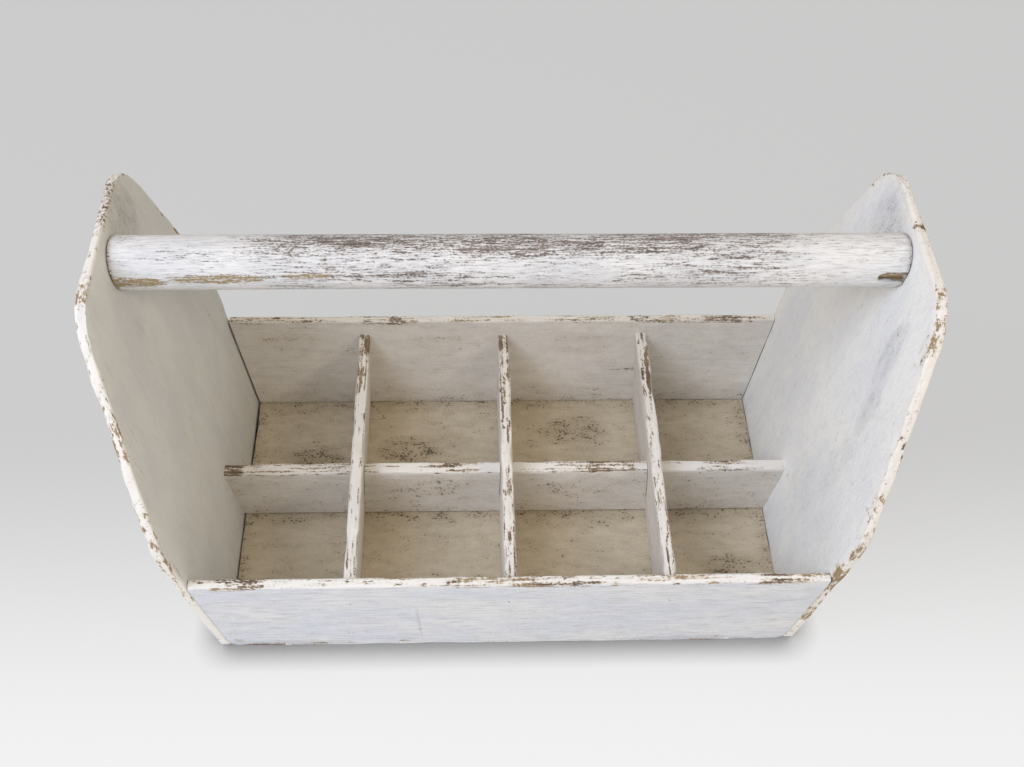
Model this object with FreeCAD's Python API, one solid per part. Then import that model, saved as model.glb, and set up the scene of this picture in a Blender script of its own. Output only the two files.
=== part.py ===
"""Hand-made wooden tool caddy.

Two splayed end boards carry a round handle. Low flared boards, a bottom and a
grid of halved dividers between them make eight compartments. Cut nails go
through the outer boards, square to their faces.

Frame: millimetres, +Z up, +X to the right along the handle, front at -Y,
origin on the ground under the middle of the caddy.
"""
import FreeCAD, Part
import math
import os

# Driving dimensions: the box, measured at the ground
INNER_LENGTH = 476.0
OUTER_WIDTH = 271.0
END_SPLAY = 9.1
SIDE_FLARE = 6.1

# End boards
END_THICKNESS = 9.5
END_HEIGHT = 359.0
SHOULDER_HEIGHT = 170.0
TOP_WIDTH = 162.0
TOP_CORNER_RADIUS = 45.0
SHOULDER_RADIUS = 105.0
FOOT_RADIUS = 8.0

# Front, back and bottom boards
SIDE_THICKNESS = 9.5
SIDE_HEIGHT = 116.0
SIDE_CORNER_RADIUS = 9.0
BOTTOM_THICKNESS = 12.2
BOTTOM_GAP = 1.6
BACK_GAP = 0.8

# Dividers
LONG_THICKNESS = 12.5
LONG_TOP = 75.0
CROSS_THICKNESS = 11.0
CROSS_TOP = 100.0
CROSS_PITCH = 130.5
CROSS_LEAN = 3.0
LAP_CLEARANCE = 0.2

# Handle, its axis set down from the top of the end boards
HANDLE_DIAMETER = 41.0
HANDLE_DROP = 29.0

# Eased and worn edges
RIM_CHAMFER = 1.5
SIDE_EDGE_RADIUS = 2.6
DIVIDER_EDGE_RADIUS = 2.6

# Cut nails through the boards: a flat tapered shank under a small oblong head
NAIL_HEAD_LENGTH = 4.8
NAIL_HEAD_WIDTH = 3.2
NAIL_HEAD_THICKNESS = 1.2
NAIL_SHANK_LENGTH = 3.2
NAIL_SHANK_WIDTH = 1.9
NAIL_TIP_LENGTH = 1.4
NAIL_LENGTH = 28.0
NAIL_EDGE_MARGIN = 24.0
NAILS_PER_SIDE_END = 3
NAILS_PER_BOTTOM_END = 3
NAILS_PER_BOTTOM_SIDE = 5
NAILS_PER_DIVIDER_END = 2

# Longer cut nails into the ends of the handle
SPIKE_HEAD_LENGTH = 6.4
SPIKE_HEAD_WIDTH = 4.6
SPIKE_HEAD_THICKNESS = 1.6
SPIKE_SHANK_LENGTH = 4.4
SPIKE_SHANK_WIDTH = 2.8
SPIKE_TIP_LENGTH = 1.8
SPIKE_LENGTH = 52.0
SPIKE_SPACING = 17.0
SPIKES_PER_HANDLE_END = 2

FASTENER_CLEARANCE = 0.05

# Directions of the leaning boards
SPLAY = math.radians(END_SPLAY)
FLARE = math.radians(SIDE_FLARE)
LEAN = math.radians(CROSS_LEAN)
REACH = 2 * (INNER_LENGTH + OUTER_WIDTH + END_HEIGHT)
LEFT, RIGHT = -1, 1
FRONT, BACK = -1, 1


def vec(x, y, z):
    return FreeCAD.Vector(x, y, z)


def end_up(side):
    """Unit vector up the slope of an end board."""
    return vec(side * math.sin(SPLAY), 0, math.cos(SPLAY))


def end_out(side):
    """Unit vector out of an end board's outer face."""
    return vec(side * math.cos(SPLAY), 0, -math.sin(SPLAY))


def side_up(side):
    """Unit vector up the slope of the front or back board."""
    return vec(0, side * math.sin(FLARE), math.cos(FLARE))


def side_out(side):
    """Unit vector out of the front or back board's outer face."""
    return vec(0, side * math.cos(FLARE), -math.sin(FLARE))


def end_inner_x(height):
    return INNER_LENGTH / 2 + height * math.tan(SPLAY)


def end_outer_x(height):
    return end_inner_x(height) + END_THICKNESS / math.cos(SPLAY)


def side_outer_y(height):
    return OUTER_WIDTH / 2 + height * math.tan(FLARE)


def side_inner_y(height):
    return side_outer_y(height) - SIDE_THICKNESS / math.cos(FLARE)


def spread(count, low, high):
    """Evenly spaced places from low to high."""
    if count == 1:
        return [(low + high) / 2]
    return [low + (high - low) * i / (count - 1) for i in range(count)]


def rounded_face(corners, origin, across, up):
    """Flat face with the corners (a, b, radius), laid out along two directions."""
    flat = [origin + across * a + up * b for a, b, radius in corners]
    edges = []
    joints = []
    for i, corner in enumerate(flat):
        arrive = (corner - flat[i - 1]).normalize()
        leave = (flat[(i + 1) % len(flat)] - corner).normalize()
        half_turn = arrive.getAngle(leave) / 2
        radius = corners[i][2]
        reach = radius * math.tan(half_turn)
        start = corner - arrive * reach
        stop = corner + leave * reach
        joints.append((start, stop))
        if radius > 0:
            inward = (leave - arrive).normalize()
            middle = corner + inward * (radius / math.cos(half_turn) - radius)
            edges.append(Part.Arc(start, middle, stop).toShape())
    for i, (start, stop) in enumerate(joints):
        edges.append(Part.LineSegment(joints[i - 1][1], start).toShape())
    return Part.Face(Part.Wire(Part.__sortEdges__(edges)))


def between_ends(low, high, left_gap=0.0, foot_radius=0.0):
    """The space between the end boards' inner faces, its lower corners rounded if asked."""
    corners = [
        (left_gap - end_inner_x(low), low, foot_radius),
        (end_inner_x(low), low, foot_radius),
        (end_inner_x(high), high, 0),
        (left_gap - end_inner_x(high), high, 0),
    ]
    face = rounded_face(corners, vec(0, -REACH / 2, 0), vec(1, 0, 0), vec(0, 0, 1))
    return face.extrude(vec(0, REACH, 0))


def between_sides(low, high):
    """The space between the front and back boards' inner faces."""
    corners = [
        (-side_inner_y(low), low, 0),
        (side_inner_y(low), low, 0),
        (side_inner_y(high), high, 0),
        (-side_inner_y(high), high, 0),
    ]
    face = rounded_face(corners, vec(-REACH / 2, 0, 0), vec(0, 1, 0), vec(0, 0, 1))
    return face.extrude(vec(REACH, 0, 0))


def above_ground(shape):
    ground = Part.makeBox(REACH, REACH, REACH, vec(-REACH / 2, -REACH / 2, -REACH))
    return shape.cut(ground)


def single(shape):
    """The one solid of a boolean's result."""
    return shape.removeSplitter().Solids[0]


def end_board(side):
    """Six-sided board with a flat top, widest at its shoulders, its rims eased."""
    slope = math.cos(SPLAY)
    shoulder = side_outer_y(SHOULDER_HEIGHT)
    foot = side_outer_y(0)
    half_top = TOP_WIDTH / 2
    corners = [
        (-foot, 0, FOOT_RADIUS),
        (foot, 0, FOOT_RADIUS),
        (shoulder, SHOULDER_HEIGHT / slope, SHOULDER_RADIUS),
        (half_top, END_HEIGHT / slope, TOP_CORNER_RADIUS),
        (-half_top, END_HEIGHT / slope, TOP_CORNER_RADIUS),
        (-shoulder, SHOULDER_HEIGHT / slope, SHOULDER_RADIUS),
    ]
    face = rounded_face(corners, vec(side * end_inner_x(0), 0, 0), vec(0, 1, 0), end_up(side))
    board = face.extrude(end_out(side) * END_THICKNESS)
    rims = [edge for edge in board.Edges if abs(edge.tangentAt(edge.FirstParameter).dot(end_out(side))) < 0.5]
    return single(above_ground(board.makeChamfer(RIM_CHAMFER, rims)))


def side_board(side, left_gap):
    """Low board that leans out, its top square to its faces, cut to the end boards' slope."""
    out = side_out(side)
    up = side_up(side)
    foot = vec(0, side * side_outer_y(0), 0)
    inner_top = SIDE_HEIGHT / math.cos(FLARE)
    outer_top = inner_top - SIDE_THICKNESS * math.tan(FLARE)
    inner_foot = -SIDE_THICKNESS * math.tan(FLARE)
    corners = [
        (0, 0, SIDE_EDGE_RADIUS),
        (0, outer_top, SIDE_EDGE_RADIUS),
        (-SIDE_THICKNESS, outer_top, SIDE_EDGE_RADIUS),
        (-SIDE_THICKNESS, inner_foot, 0),
    ]
    face = rounded_face(corners, foot - vec(REACH / 2, 0, 0), out, up)
    space = between_ends(0, END_HEIGHT, left_gap, SIDE_CORNER_RADIUS)
    return single(face.extrude(vec(REACH, 0, 0)).common(space))


def bottom_board():
    """Bottom between the four walls, its edges bevelled to their slopes."""
    space = between_sides(0, BOTTOM_THICKNESS)
    return single(space.common(between_ends(0, BOTTOM_THICKNESS, BOTTOM_GAP)))


def cross_lean(position):
    """The outer cross dividers lean towards the middle at their tops."""
    return -LEAN * (position > 0) + LEAN * (position < 0)


def cross_x(position, height):
    """Middle of a cross divider's thickness at a height."""
    return position + (height - CROSS_TOP) * math.tan(cross_lean(position))


def upright_slab(centre, thickness, top, radius, turn, along, length):
    """Tall slab with a rounded top, turned about the middle of its top edge."""
    across = vec(0, 0, 1).cross(along) * -1
    turned = FreeCAD.Rotation(along, math.degrees(turn))
    half = thickness / 2
    corners = [
        (-half, -top - thickness, 0),
        (half, -top - thickness, 0),
        (half, 0, radius),
        (-half, 0, radius),
    ]
    origin = across * centre + vec(0, 0, top) - along * (length / 2)
    face = rounded_face(corners, origin, turned.multVec(across), turned.multVec(vec(0, 0, 1)))
    return face.extrude(along * length)


def cross_slab(position, grow=0.0):
    return upright_slab(position, CROSS_THICKNESS + 2 * grow, CROSS_TOP, DIVIDER_EDGE_RADIUS,
                        cross_lean(position), vec(0, 1, 0), REACH)


def long_slab(grow=0.0):
    return upright_slab(0, LONG_THICKNESS + 2 * grow, LONG_TOP, DIVIDER_EDGE_RADIUS, 0, vec(1, 0, 0), REACH)


def layer(low, high):
    """Everything between two heights."""
    return Part.makeBox(REACH, REACH, high - low, vec(-REACH / 2, -REACH / 2, low))


def lap_height():
    """Where the halved dividers meet: the middle of the long divider's height."""
    return (BOTTOM_THICKNESS + LONG_TOP) / 2


def long_divider():
    """Long divider, notched from above for each cross divider."""
    board = long_slab().common(between_ends(BOTTOM_THICKNESS, END_HEIGHT))
    for position in CROSS_POSITIONS.values():
        notch = cross_slab(position, LAP_CLEARANCE).common(layer(lap_height() - LAP_CLEARANCE, END_HEIGHT))
        board = board.cut(notch)
    return single(board)


def cross_divider(position):
    """Cross divider between the front and back boards, notched from below over the long divider."""
    board = cross_slab(position).common(between_sides(BOTTOM_THICKNESS, END_HEIGHT))
    notch = long_slab(LAP_CLEARANCE).common(layer(0, lap_height()))
    return single(board.cut(notch))


def handle_axis_height():
    return END_HEIGHT - HANDLE_DROP


def handle():
    """Round bar, its ends cut to the slope of the end boards."""
    start = vec(-REACH / 2, 0, handle_axis_height())
    bar = Part.makeCylinder(HANDLE_DIAMETER / 2, REACH, start, vec(1, 0, 0))
    return single(bar.common(between_ends(0, END_HEIGHT)))


def driven(piece, head, inward, grain):
    """A fastener made along +Z from its head at the origin, put into a board along its grain."""
    turn = FreeCAD.Rotation(grain, inward.cross(grain), inward, "ZXY")
    piece.Placement = FreeCAD.Placement(head, turn)
    return piece


def oblong(length, width, depth):
    """Rectangle across a nail, at a depth below its head."""
    x, y = length / 2, width / 2
    return Part.makePolygon([vec(a, b, depth) for a, b in ((-x, -y), (x, -y), (x, y), (-x, y), (-x, -y))])


def cut_nail(head_size, shank_size, tip_length, length, grow):
    """Cut nail down +Z: an oblong head over a shank that tapers along its length."""
    head_length, head_width, head_thickness = head_size
    shank_length, shank_width = shank_size
    wide = 2 * grow
    cap_rims = [oblong(head_length + wide, head_width + wide, depth) for depth in (0, head_thickness + grow)]
    shank_rims = [
        oblong(shank_length + wide, shank_width + wide, 0),
        oblong(tip_length + wide, shank_width + wide, length + grow),
    ]
    cap = Part.makeLoft(cap_rims, True, True)
    shank = Part.makeLoft(shank_rims, True, True)
    return single(cap.fuse(shank))


def nail(head, inward, grain, grow=0.0):
    """Nail through a board, its head flush with the board's face."""
    head_size = (NAIL_HEAD_LENGTH, NAIL_HEAD_WIDTH, NAIL_HEAD_THICKNESS)
    shank_size = (NAIL_SHANK_LENGTH, NAIL_SHANK_WIDTH)
    piece = cut_nail(head_size, shank_size, NAIL_TIP_LENGTH, NAIL_LENGTH, grow)
    return driven(piece, head, inward, grain)


def spike(head, inward, grain, grow=0.0):
    """Long nail through an end board into the handle, its head flush with the board's face."""
    head_size = (SPIKE_HEAD_LENGTH, SPIKE_HEAD_WIDTH, SPIKE_HEAD_THICKNESS)
    shank_size = (SPIKE_SHANK_LENGTH, SPIKE_SHANK_WIDTH)
    piece = cut_nail(head_size, shank_size, SPIKE_TIP_LENGTH, SPIKE_LENGTH, grow)
    return driven(piece, head, inward, grain)


def end_place(side, y, height):
    """Place, inward direction and grain of a fastener on an end board's outer face."""
    return vec(side * end_outer_x(height), y, height), end_out(side) * -1, end_up(side)


def side_place(side, x, height):
    """Place, inward direction and grain of a fastener on the front or back board's outer face."""
    return vec(x, side * side_outer_y(height), height), side_out(side) * -1, vec(1, 0, 0)


def bottom_entry(thickness, angle):
    """Height at which a nail enters a leaning board to run along the middle of the bottom."""
    return BOTTOM_THICKNESS / 2 - (NAIL_LENGTH + thickness) / 2 * math.sin(angle)


def end_nails_into_side(side):
    """Nails through both end boards into the ends of the front or back board."""
    places = []
    for height in spread(NAILS_PER_SIDE_END, NAIL_EDGE_MARGIN, SIDE_HEIGHT - NAIL_EDGE_MARGIN):
        middle = side * (side_inner_y(height) + side_outer_y(height)) / 2
        places += [end_place(end, middle, height) for end in (LEFT, RIGHT)]
    return places


def end_nails_into_bottom():
    half = side_inner_y(0) - 2 * NAIL_EDGE_MARGIN
    height = bottom_entry(END_THICKNESS, SPLAY)
    return [end_place(end, y, height) for end in (LEFT, RIGHT) for y in spread(NAILS_PER_BOTTOM_END, -half, half)]


def divider_heights(top):
    margin = NAIL_EDGE_MARGIN * 2 / 3
    return spread(NAILS_PER_DIVIDER_END, BOTTOM_THICKNESS + margin, top - margin)


def end_nails_into_divider():
    return [end_place(end, 0, height) for end in (LEFT, RIGHT) for height in divider_heights(LONG_TOP)]


def side_nails_into_bottom(side):
    half = end_inner_x(0) - 2 * NAIL_EDGE_MARGIN
    height = bottom_entry(SIDE_THICKNESS, FLARE)
    return [side_place(side, x, height) for x in spread(NAILS_PER_BOTTOM_SIDE, -half, half)]


def side_nails_into_dividers(side):
    places = []
    for position in CROSS_POSITIONS.values():
        places += [side_place(side, cross_x(position, height), height) for height in divider_heights(CROSS_TOP)]
    return places


def handle_spike_places():
    """Spikes in a row across the grain of the handle's end, at the height of its axis."""
    half = SPIKE_SPACING * (SPIKES_PER_HANDLE_END - 1) / 2
    height = handle_axis_height() - (SPIKE_LENGTH + END_THICKNESS) / 2 * math.sin(SPLAY)
    return [end_place(end, y, height) for end in (LEFT, RIGHT) for y in spread(SPIKES_PER_HANDLE_END, -half, half)]


def bored(boards, names, tool, places):
    """Cut the holes of a group of fasteners into the boards that they go through."""
    holes = Part.makeCompound([tool(*place, FASTENER_CLEARANCE) for place in places])
    for name in names:
        boards[name] = single(boards[name].cut(holes))


CROSS_POSITIONS = {
    "cross_divider_left": -CROSS_PITCH,
    "cross_divider_middle": 0.0,
    "cross_divider_right": CROSS_PITCH,
}

boards = {
    "left_end_board": end_board(LEFT),
    "right_end_board": end_board(RIGHT),
    "front_board": side_board(FRONT, 0.0),
    "back_board": side_board(BACK, BACK_GAP),
    "bottom_board": bottom_board(),
    "long_divider": long_divider(),
    "handle": handle(),
}
for name, position in CROSS_POSITIONS.items():
    boards[name] = cross_divider(position)

ENDS = ["left_end_board", "right_end_board"]
CROSS_NAMES = list(CROSS_POSITIONS)
nail_groups = {
    "end_nails_front": (end_nails_into_side(FRONT), ENDS + ["front_board"]),
    "end_nails_back": (end_nails_into_side(BACK), ENDS + ["back_board"]),
    "end_nails_bottom": (end_nails_into_bottom(), ENDS + ["bottom_board"]),
    "end_nails_divider": (end_nails_into_divider(), ENDS + ["long_divider"]),
    "front_nails_bottom": (side_nails_into_bottom(FRONT), ["front_board", "bottom_board"]),
    "back_nails_bottom": (side_nails_into_bottom(BACK), ["back_board", "bottom_board"]),
    "front_nails_dividers": (side_nails_into_dividers(FRONT), ["front_board"] + CROSS_NAMES),
    "back_nails_dividers": (side_nails_into_dividers(BACK), ["back_board"] + CROSS_NAMES),
}
fasteners = {}
for name, (places, held) in nail_groups.items():
    fasteners[name] = Part.makeCompound([nail(*place) for place in places])
    bored(boards, held, nail, places)

spike_places = handle_spike_places()
fasteners["handle_spikes"] = Part.makeCompound([spike(*place) for place in spike_places])
bored(boards, ENDS + ["handle"], spike, spike_places)

os.makedirs("parts", exist_ok=True)
for name, shape in {**boards, **fasteners}.items():
    shape.exportStep(f"parts/{name}.step")
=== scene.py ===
# %% [markdown]
# # A white-painted tool caddy
#
# A carpenter's tool caddy: two splayed end boards, a round handle between them, low flared
# sides and a grid of halved dividers. All of it is wood under old chalky paint.
# The CAD frame gives every board its place. This lesson lays a worn, hand-painted board
# over each CAD board. Each one keeps to the solid that it stands for, but for ends that run
# on by some tenths of a millimetre to meet a worn neighbour.

import math

import bmesh
import bpy
import numpy as np
from mathutils import Matrix, Vector


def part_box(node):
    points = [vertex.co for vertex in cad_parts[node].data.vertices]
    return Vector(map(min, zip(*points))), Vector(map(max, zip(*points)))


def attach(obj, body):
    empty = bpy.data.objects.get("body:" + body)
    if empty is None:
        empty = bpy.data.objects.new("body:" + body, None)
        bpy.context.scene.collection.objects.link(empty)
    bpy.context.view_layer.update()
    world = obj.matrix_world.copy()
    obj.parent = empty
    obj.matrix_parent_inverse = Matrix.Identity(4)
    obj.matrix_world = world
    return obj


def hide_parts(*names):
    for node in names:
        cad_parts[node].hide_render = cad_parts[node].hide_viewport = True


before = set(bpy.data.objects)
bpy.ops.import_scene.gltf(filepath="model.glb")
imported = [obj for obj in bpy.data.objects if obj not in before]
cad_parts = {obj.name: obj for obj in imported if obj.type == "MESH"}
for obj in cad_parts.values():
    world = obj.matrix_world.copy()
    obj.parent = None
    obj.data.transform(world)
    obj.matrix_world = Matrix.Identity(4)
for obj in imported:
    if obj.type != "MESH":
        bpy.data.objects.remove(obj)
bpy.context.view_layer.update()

# %% [markdown]
# ## The caddy's own sizes
#
# The sheared boards can't be read from boxes alone, so the slopes and heights are repeated
# here in millimetres, and the box of a CAD board is used to see that they agree.

# %% Sizes and slopes
MM = 0.001
SPLAY = math.radians(9.1)
FLARE = math.radians(6.1)
HALF_LENGTH = 238.0
HALF_WIDTH = 135.5
BOARD = 9.5
BOTTOM = 12.2


def end_x(height):
    """Inner face of an end board: half the length at the ground plus height times the splay."""
    return HALF_LENGTH + height * math.tan(SPLAY)


def side_y(height):
    """Inner face of a side board: half the width plus height times the flare, less its wood."""
    return HALF_WIDTH + height * math.tan(FLARE) - BOARD / math.cos(FLARE)


handle_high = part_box("handle")[1]
print("handle reaches", handle_high.x / MM, "and by the splay", end_x(handle_high.z / MM))

# %% [markdown]
# ## Noise for old wood
#
# Chips, plane marks and rubbed spots need numbers that look random and never change from run
# to run. Blender's textures only work in a shader, and here the shape itself has to wear, so
# a small value noise is worked out with numpy for every point of a board at once.

# %% Fixed noise
def corner_value(corner, seed):
    """A fixed value from 0 to 1 for each whole-number corner: its three numbers, each times a
    large odd factor, are added, and the mixed bits are read as a fraction."""
    mixed = corner[..., 0] * 374761393 + corner[..., 1] * 668265263 + corner[..., 2] * 1440662683
    mixed = (mixed + seed * 974634777) & 0xFFFFFFFF
    mixed = ((mixed ^ (mixed >> 13)) * 1274126177) & 0xFFFFFFFF
    return ((mixed ^ (mixed >> 16)) & 0xFFFFFF) / 0xFFFFFF


def soft_noise(points, seed):
    """Value noise: the eight corners of the cell round a point are blended by how near the
    point is to each, along an S-shaped curve."""
    cell = np.floor(points).astype(np.int64)
    part = points - cell
    ease = part * part * (3 - 2 * part)
    total = 0.0
    for corner in np.ndindex(2, 2, 2):
        weight = np.abs(1 - np.array(corner) - ease).prod(axis=-1)
        total = total + weight * corner_value(cell + corner, seed)
    return total


def rough_noise(points, seed, layers=4):
    """Layers of soft noise, each twice as fine and half as strong as the one before, from 0 to 1."""
    stack = [soft_noise(points * 2.0**n, seed + n) / 2.0**n for n in range(layers)]
    return sum(stack) / (2 - 2.0 ** (1 - layers))


def ramp(value, start, stop):
    """0 up to start, 1 from stop on, and an S-shaped rise between them."""
    share = np.clip((value - start) / (stop - start), 0, 1)
    return share * share * (3 - 2 * share)


print("noise at one point:", float(rough_noise(np.array([[0.3, 4.1, 2.2]]), 5)[0]))

# %% [markdown]
# ## One worn board
#
# Every flat piece of the caddy is the same thing: a thin section with rubbed, rounded edges,
# carried along the board. A bevelled cube would give the same clean edge everywhere. A grid of
# section points by stations along the board lets each edge wander, chip and lose paint in
# its own way, so the board is worked out as one array.

# %% A section carried along a board
CORNER_POINTS = 6
EDGE_POINTS = 5


def stations(start, stop, step):
    """Places along a board, about step apart: an even row blended with a sine, so that they
    crowd together towards both ends, where corners are round."""
    turn = np.linspace(-1, 1, int(round((stop - start) / step)) + 1)
    blend = 0.15 * turn + 0.85 * np.sin(turn * math.pi / 2)
    return (start + stop) / 2 + (stop - start) / 2 * blend


def board_grid(along, low, high, half, radius, face_steps, tilt=0.0):
    """A board's surface on a grid of stations by points round the section. The section is a
    rectangle from low to high across and from -half to half through, with its four corners
    on quarter circles of the radius. Both ends get two more sections, which fold_ends closes.
    tilt turns the edges' outward direction towards the board's length, in radians."""
    even = (np.arange(face_steps) + 0.5) / face_steps
    face = 0.25 * even + 0.75 * (1 - np.cos(math.pi * even)) / 2
    quarter = np.linspace(0, math.pi / 2, CORNER_POINTS)
    sine, cosine = np.sin(quarter), np.cos(quarter)
    flat = np.linspace(1, -1, EDGE_POINTS + 2)[1:-1]
    one = np.ones(CORNER_POINTS)
    # Round the section: a face, the high edge between two corners, the other face, the low edge
    across_of = np.concatenate([2 * face - 1, one, 0 * flat + 1, one,
                                1 - 2 * face, -one, 0 * flat - 1, -one])
    out_a = np.concatenate([0 * face, sine, 0 * flat + 1, sine[::-1],
                            0 * face, -sine, 0 * flat - 1, -sine[::-1]])
    out_t = np.concatenate([0 * face + 1, cosine, 0 * flat, -cosine[::-1],
                            0 * face - 1, -cosine, 0 * flat, cosine[::-1]])
    core_t = np.concatenate([0 * face + 1, one, flat, -one,
                             0 * face - 1, -one, -flat, one])
    columns = [np.broadcast_to(np.asarray(v, float), along.shape)[:, None] for v in (low, high, half, tilt)]
    low, high, half, tilt = columns
    r = np.minimum(radius, 0.98 * half)
    across = (low + high) / 2 + across_of * ((high - low) / 2 - r) + out_a * r
    through = core_t * (half - r) + out_t * r
    inward = np.clip(half - r - np.abs(through), 0, None)
    fields = {
        "along": np.broadcast_to(along[:, None], across.shape), "across": across, "through": through,
        "ridge_high": np.hypot(np.clip(high - r - across, 0, None), inward),
        "ridge_low": np.hypot(np.clip(across - low - r, 0, None), inward),
        "out_along": np.abs(out_a) * np.sin(tilt), "out_across": out_a * np.cos(tilt),
        "out_through": np.broadcast_to(out_t, across.shape),
    }
    return {key: np.concatenate([v[:1], v[:1], v, v[-1:], v[-1:]]) for key, v in fields.items()}


def fold_ends(board):
    """Closes both ends of a board: the sections past each end shrink through the board, to half
    and then to nothing."""
    for row, share in ((1, 0.5), (0, 0.0), (-2, 0.5), (-1, 0.0)):
        board["through"][row] *= share


print("stations on 100 mm of board:", len(stations(0, 100, 1.0)))

# %% [markdown]
# ## How a board wears
#
# Paint goes first on the ridges, where hands and tools rub. In places the wood under it breaks
# out in small chips. The faces stay a little uneven from the hand plane. All of these only
# take wood away, so wear never makes a board grow out of its CAD solid.

# %% Wear of a board
def spot(board, seed, along=1.0, across=1.0, through=1.0):
    """Points for noise: the board's own millimetres divided by a pattern's size in each
    direction, moved far away by the seed so that no two boards match."""
    place = np.stack([board["along"], board["across"], board["through"]], axis=-1)
    return place / np.array((along, across, through)) + seed * 17.3


def patches(board, places):
    """Rubbed spots, stains and painted shadows, listed one by one: each is a smooth hill, 1 at its
    middle and fading over its half length and half width, and the highest hill counts. A place
    gives the middle along and half the length, the middle across and half the width, and the
    strength."""
    hill = np.zeros_like(board["along"])
    for along, half_along, across, half_across, strength in places:
        far = np.hypot((board["along"] - along) / half_along, (board["across"] - across) / half_across)
        hill = np.maximum(hill, strength * ramp(1.35 - far, 0, 0.7))
    return hill


def weather(board, ridge, seed, rub=0.4, chip=1.0, rubbed=0.0, rim_rub=0.0, wander=0.6):
    """Wears a board down along its outward direction. The depth is plane marks, some tenths of
    a millimetre, plus chips where a rough noise passes a limit near a ridge, plus a slow
    wander of the ridge itself, as a hand plane leaves it. ridge is each point's distance from
    the ridges, chip and wander are depths in millimetres, and rim_rub rubs streaks into the
    whole narrow edge. Returns how worn the paint is, from 0 to 1."""
    slow = rough_noise(spot(board, seed, 46, 30, 30), seed, 2)
    bite = rough_noise(spot(board, seed, 7, 3.6, 3.6), seed + 20)
    plane = rough_noise(spot(board, seed, 90, 22, 30), seed + 40, 3)
    near = np.exp(-((ridge / 2.6) ** 2))
    chips = near * ramp(bite + 0.5 * (slow - 0.5), 0.60, 0.76)
    drift = ramp(rough_noise(spot(board, seed + 3, 26, 40, 12), seed + 33, 2), 0.4, 0.75)
    depth = 0.35 * plane + chip * chips + wander * np.exp(-((ridge / 5) ** 2)) * drift
    for key in ("along", "across", "through"):
        board[key] = board[key] - depth * board["out_" + key]
    edge = np.exp(-((ridge / 1.9) ** 2)) * ramp(slow + 0.6 * (bite - 0.5), 0.38, 0.66)
    board["rim"] = np.abs(board["out_across"]) ** 2
    streaks = rough_noise(spot(board, seed, 17, 3, 2.2), seed + 80)
    rim = rim_rub * np.abs(board["out_across"]) * ramp(streaks + 0.4 * (slow - 0.5), 0.42, 0.64)
    return np.clip(np.maximum(np.maximum(rub * edge, 0.7 * chips), rim) + rubbed, 0, 1)


trial = board_grid(stations(0, 60, 2.0), 0, 40, BOARD / 2, 2.4, 12)
trial_wear = weather(trial, trial["ridge_high"], 1)
print("a trial board has lost", round(100 * float(trial_wear.mean()), 1), "per cent of its paint")

# %% [markdown]
# ## From arrays to a mesh
#
# A mesh object is made from the whole grid at once. Neighbouring points make four-sided faces,
# the last column joins the first, and the folded ends are merged so that the board is a
# closed skin. Each point keeps its place in the uncut board as an attribute, so that the
# grain runs along the wood however the board leans, and how worn and how dirty it is.

# %% Mesh with attributes
def make_piece(name, xyz, grain, marks, material):
    """A closed mesh from a grid of points in millimetres, which stands for the CAD node of the
    same name. The grain place and the point marks go with the points as attributes: wear,
    grime_and_shade for dirt and painted shadows, ochre where bare wood is pale, seam for dark
    joints, and rim for the narrow edges."""
    rows, columns = xyz.shape[:2]
    index = np.arange(rows * columns).reshape(rows, columns)
    after = np.roll(index, -1, axis=1)
    quads = np.stack([index[:-1], after[:-1], after[1:], index[1:]], axis=-1).reshape(-1, 4)
    mesh = bpy.data.meshes.new(name)
    mesh.from_pydata(xyz.reshape(-1, 3) * MM, [], quads)
    layer = mesh.attributes.new("grain", "FLOAT_VECTOR", "POINT")
    layer.data.foreach_set("vector", grain.reshape(-1).astype(np.float32))
    for key, value in marks.items():
        layer = mesh.attributes.new(key, "FLOAT", "POINT")
        field = np.broadcast_to(value, (rows, columns))
        layer.data.foreach_set("value", field.reshape(-1).astype(np.float32))
    work = bmesh.new()
    work.from_mesh(mesh)
    bmesh.ops.remove_doubles(work, verts=work.verts, dist=1e-6)
    if work.calc_volume(signed=True) < 0:
        bmesh.ops.reverse_faces(work, faces=work.faces)
    volume = work.calc_volume()
    work.to_mesh(mesh)
    work.free()
    mesh.polygons.foreach_set("use_smooth", np.ones(len(mesh.polygons), bool))
    mesh.set_sharp_from_angle(angle=math.radians(50))
    mesh.materials.append(material)
    piece = bpy.data.objects.new(name, mesh)
    bpy.context.scene.collection.objects.link(piece)
    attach(piece, "root")
    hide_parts(name)
    print(f"{name}: {len(mesh.polygons)} faces, {volume * 1e6:.0f} cubic centimetres")


# %% [markdown]
# ## Node helpers and colours
#
# Materials are built from nodes. One small function empties a material's tree, one adds a node,
# sets its properties and fills or links its sockets, and one turns a written sRGB colour into
# the linear numbers that a shader works with.

# %% Nodes and colours
def empty_tree(owner):
    """Gives a material or a world an empty node tree of its own."""
    owner.use_nodes = True
    owner.node_tree.nodes.clear()
    return owner.node_tree


def node(tree, kind, sockets, **settings):
    """Adds a shader node, sets its properties, and sets or links each socket that is given."""
    made = tree.nodes.new("ShaderNode" + kind)
    for key, value in settings.items():
        setattr(made, key, value)
    for key, value in sockets.items():
        if isinstance(value, bpy.types.NodeSocket):
            tree.links.new(value, made.inputs[key])
        else:
            made.inputs[key].default_value = value
    return made


def linear(code):
    """An sRGB hex colour as linear red, green, blue and a full alpha."""
    part = [int(code[i:i + 2], 16) / 255 for i in (1, 3, 5)]
    return [c / 12.92 if c <= 0.04045 else ((c + 0.055) / 1.055) ** 2.4 for c in part] + [1.0]


print("chalk white is", [round(c, 3) for c in linear("#E9E7E2")])
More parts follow.
